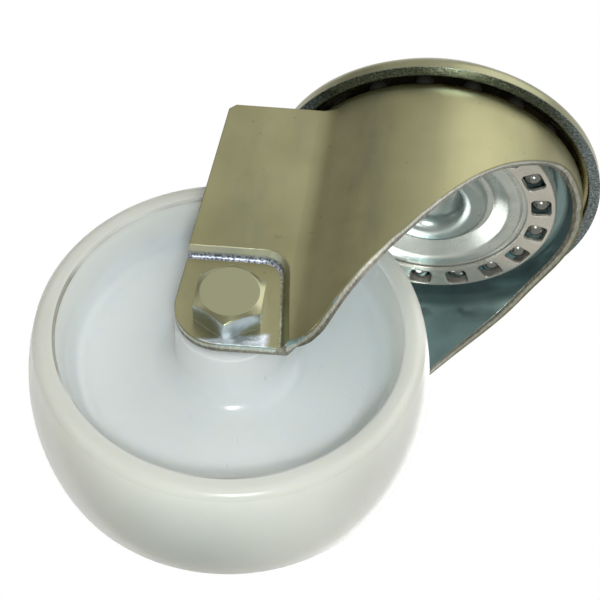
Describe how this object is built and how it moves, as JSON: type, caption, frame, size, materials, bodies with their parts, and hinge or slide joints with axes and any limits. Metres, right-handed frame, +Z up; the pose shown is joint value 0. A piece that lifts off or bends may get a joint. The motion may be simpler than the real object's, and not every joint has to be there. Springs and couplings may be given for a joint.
{
  "type": "swivel castor",
  "caption": "Swivel castor with a round bolt-hole head on a double ball race, an offset pressed sheet fork and a one-piece plastic wheel with recessed sides.",
  "frame": {"origin": "centre of the top mounting face, on the swivel axis", "axes": "+Z up along the swivel axis; +X forward, with the wheel trailing towards -X; the axle runs along Y, its bolt head on the -Y side"},
  "size_m": [0.1131, 0.0732, 0.1045],
  "materials": {
    "passivated_zinc": "zinc plated, yellow-olive passivation, satin",
    "bright_zinc": "zinc plated, satin",
    "cage_steel": "zinc plated, bright",
    "ball_steel": "polished",
    "bolt_zinc": "zinc plated, satin",
    "nylon": "plain",
    "wheel_plastic": "white, slightly translucent, satin"
  },
  "bodies": {
    "head": {"swivel_dish": "passivated_zinc", "kingpin": "bright_zinc", "lower_race": "bright_zinc"},
    "fork": {"fork": "passivated_zinc", "axle_tube": "bright_zinc", "axle_bolt": "bolt_zinc", "axle_nut": "bolt_zinc", "nut_insert": "nylon"},
    "wheel": {"wheel": "wheel_plastic"},
    "upper_balls": {"upper_ball_01": "ball_steel", "upper_ball_02": "ball_steel", "upper_ball_03": "ball_steel", "upper_ball_04": "ball_steel", "upper_ball_05": "ball_steel", "upper_ball_06": "ball_steel", "upper_ball_07": "ball_steel", "upper_ball_08": "ball_steel", "upper_ball_09": "ball_steel", "upper_ball_10": "ball_steel", "upper_ball_11": "ball_steel", "upper_ball_12": "ball_steel", "upper_ball_13": "ball_steel", "upper_ball_14": "ball_steel", "upper_ball_15": "ball_steel", "upper_ball_16": "ball_steel", "upper_ball_17": "ball_steel", "upper_ball_18": "ball_steel"},
    "lower_balls": {"ball_cage": "cage_steel", "lower_ball_01": "ball_steel", "lower_ball_02": "ball_steel", "lower_ball_03": "ball_steel", "lower_ball_04": "ball_steel", "lower_ball_05": "ball_steel", "lower_ball_06": "ball_steel", "lower_ball_07": "ball_steel", "lower_ball_08": "ball_steel", "lower_ball_09": "ball_steel", "lower_ball_10": "ball_steel", "lower_ball_11": "ball_steel", "lower_ball_12": "ball_steel", "lower_ball_13": "ball_steel", "lower_ball_14": "ball_steel", "lower_ball_15": "ball_steel", "lower_ball_16": "ball_steel", "lower_ball_17": "ball_steel", "lower_ball_18": "ball_steel"}
  },
  "joints": [
    {"name": "fork_swivel", "type": "hinge", "parent": "head", "child": "fork", "pos_m": [0, 0, 0], "axis": [0, 0, 1], "continuous": true},
    {"name": "wheel_spin", "type": "hinge", "parent": "fork", "child": "wheel", "pos_m": [-0.0365, 0, -0.0645], "axis": [0, 1, 0], "continuous": true},
    {"name": "upper_row_turn", "type": "hinge", "parent": "head", "child": "upper_balls", "pos_m": [0, 0, 0], "axis": [0, 0, 1], "continuous": true},
    {"name": "lower_row_turn", "type": "hinge", "parent": "head", "child": "lower_balls", "pos_m": [0, 0, 0], "axis": [0, 0, 1], "continuous": true}
  ],
  "couplings": [
    {"joint": "upper_row_turn", "follows": "fork_swivel", "ratio": 0.5},
    {"joint": "lower_row_turn", "follows": "fork_swivel", "ratio": 0.5}
  ]
}
